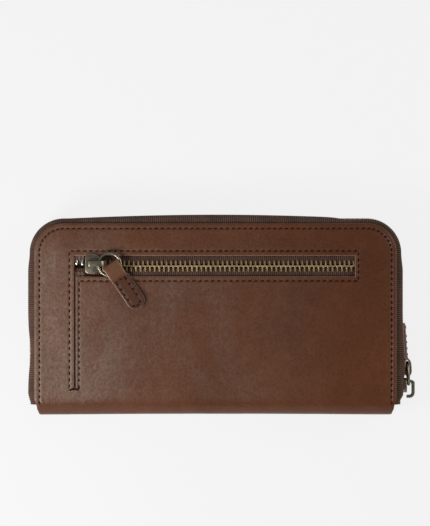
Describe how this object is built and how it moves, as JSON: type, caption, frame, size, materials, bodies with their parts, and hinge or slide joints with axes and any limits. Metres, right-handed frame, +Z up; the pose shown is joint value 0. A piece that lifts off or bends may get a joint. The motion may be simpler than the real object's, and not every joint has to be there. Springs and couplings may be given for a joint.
{
  "type": "zip around wallet",
  "caption": "Long leather wallet closed by a zip round three sides, with a zipped back pocket and card and coin pockets inside.",
  "frame": {"origin": "middle of the flat front face that the closed wallet lies on", "axes": "+X along the wallet towards the main slider, +Y from the spine to the long side of the main zip, +Z up through the wallet towards the zipped back pocket"},
  "size_m": [0.2059, 0.1045, 0.0307],
  "materials": {
    "leather": "smooth waxed brown leather",
    "loop_leather": "lighter tan brown leather",
    "lining": "woven brown lining",
    "zip_tape": "ribbed dark brown zip tape",
    "zip_teeth": "antique brass, worn bright at the tips",
    "zip_stops": "bright polished clips",
    "slider_metal": "dull olive antique brass",
    "board": "plain stiffening board"
  },
  "bodies": {
    "front_half": {"front_leather": "leather", "front_board": "board", "front_lining": "lining", "front_card_pocket_1": "lining", "front_card_pocket_2": "lining", "front_card_pocket_3": "lining", "main_tape_front": "zip_tape", "main_teeth_front": "zip_teeth", "main_stop_front": "zip_stops", "main_bottom_stop": "zip_stops"},
    "spine": {"spine_leather": "leather", "spine_board": "board", "spine_lining": "lining", "coin_wall_front": "lining", "coin_wall_rear": "lining", "coin_gusset": "lining", "coin_trim_front": "leather", "coin_trim_rear": "leather", "coin_tape_front": "zip_tape", "coin_tape_rear": "zip_tape", "coin_teeth_front": "zip_teeth", "coin_teeth_rear": "zip_teeth"},
    "rear_half": {"rear_leather": "leather", "rear_board": "board", "rear_lining": "lining", "rear_card_pocket_1": "lining", "rear_card_pocket_2": "lining", "rear_card_pocket_3": "lining", "main_tape_rear": "zip_tape", "main_teeth_rear": "zip_teeth", "main_stop_rear": "zip_stops", "pocket_bag": "lining", "pocket_tape_upper": "zip_tape", "pocket_tape_lower": "zip_tape", "pocket_teeth_upper": "zip_teeth", "pocket_teeth_lower": "zip_teeth", "pocket_end_stops": "zip_stops", "pocket_bottom_stop": "zip_stops"},
    "coin_slider": {"coin_slider": "slider_metal"},
    "coin_pull": {"coin_pull": "slider_metal"},
    "main_slider": {"main_slider": "slider_metal"},
    "main_ring": {"main_ring": "slider_metal"},
    "main_tab": {"main_tab_loop": "loop_leather", "main_tab": "leather"},
    "pocket_slider": {"pocket_slider": "slider_metal"},
    "pocket_ring": {"pocket_ring": "slider_metal"},
    "pocket_tab": {"pocket_tab_loop": "loop_leather", "pocket_tab": "leather"}
  },
  "joints": [
    {"name": "spine_fold", "type": "hinge", "parent": "front_half", "child": "spine", "pos_m": [0, -0.04928, 0.00172], "axis": [1, 0, 0], "range_deg": [0, 90], "deforming": ["spine_leather", "spine_lining"]},
    {"name": "cover_fold", "type": "hinge", "parent": "spine", "child": "rear_half", "pos_m": [0, -0.04928, 0.02328], "axis": [1, 0, 0], "range_deg": [0, 90]},
    {"name": "main_zip_slide", "type": "slide", "parent": "front_half", "child": "main_slider", "axis": [0, 1, 0], "range_m": [0, 0.07], "deforming": ["main_teeth_front", "main_teeth_rear"]},
    {"name": "main_ring_swing", "type": "hinge", "parent": "main_slider", "child": "main_ring", "pos_m": [0.1035, -0.0354, 0.0125], "axis": [0, 0, -1], "range_deg": [0, 90]},
    {"name": "main_tab_swing", "type": "hinge", "parent": "main_ring", "child": "main_tab", "pos_m": [0.10278, -0.02362, 0.0125], "axis": [0, 0, -1], "range_deg": [0, 90], "deforming": ["main_tab_loop"]},
    {"name": "pocket_zip_slide", "type": "slide", "parent": "rear_half", "child": "pocket_slider", "axis": [1, 0, 0], "range_m": [0, 0.13], "deforming": ["pocket_teeth_upper", "pocket_teeth_lower"]},
    {"name": "pocket_ring_swing", "type": "hinge", "parent": "pocket_slider", "child": "pocket_ring", "pos_m": [-0.0624, 0.0287, 0.0278], "axis": [0, -1, 0], "range_deg": [0, 110]},
    {"name": "pocket_tab_swing", "type": "hinge", "parent": "pocket_ring", "child": "pocket_tab", "pos_m": [-0.05318, 0.02382, 0.0278], "axis": [-0.8271, -0.5621, 0], "range_deg": [0, 60], "deforming": ["pocket_tab_loop"]},
    {"name": "coin_zip_slide", "type": "slide", "parent": "spine", "child": "coin_slider", "axis": [-1, 0, 0], "range_m": [0, 0.145], "deforming": ["coin_teeth_front", "coin_teeth_rear"]},
    {"name": "coin_pull_swing", "type": "hinge", "parent": "coin_slider", "child": "coin_pull", "pos_m": [0.07, 0.03555, 0.0107], "axis": [0, 0, 1], "range_deg": [0, 150]}
  ],
  "couplings": [
    {"joint": "cover_fold", "follows": "spine_fold", "ratio": 1}
  ]
}
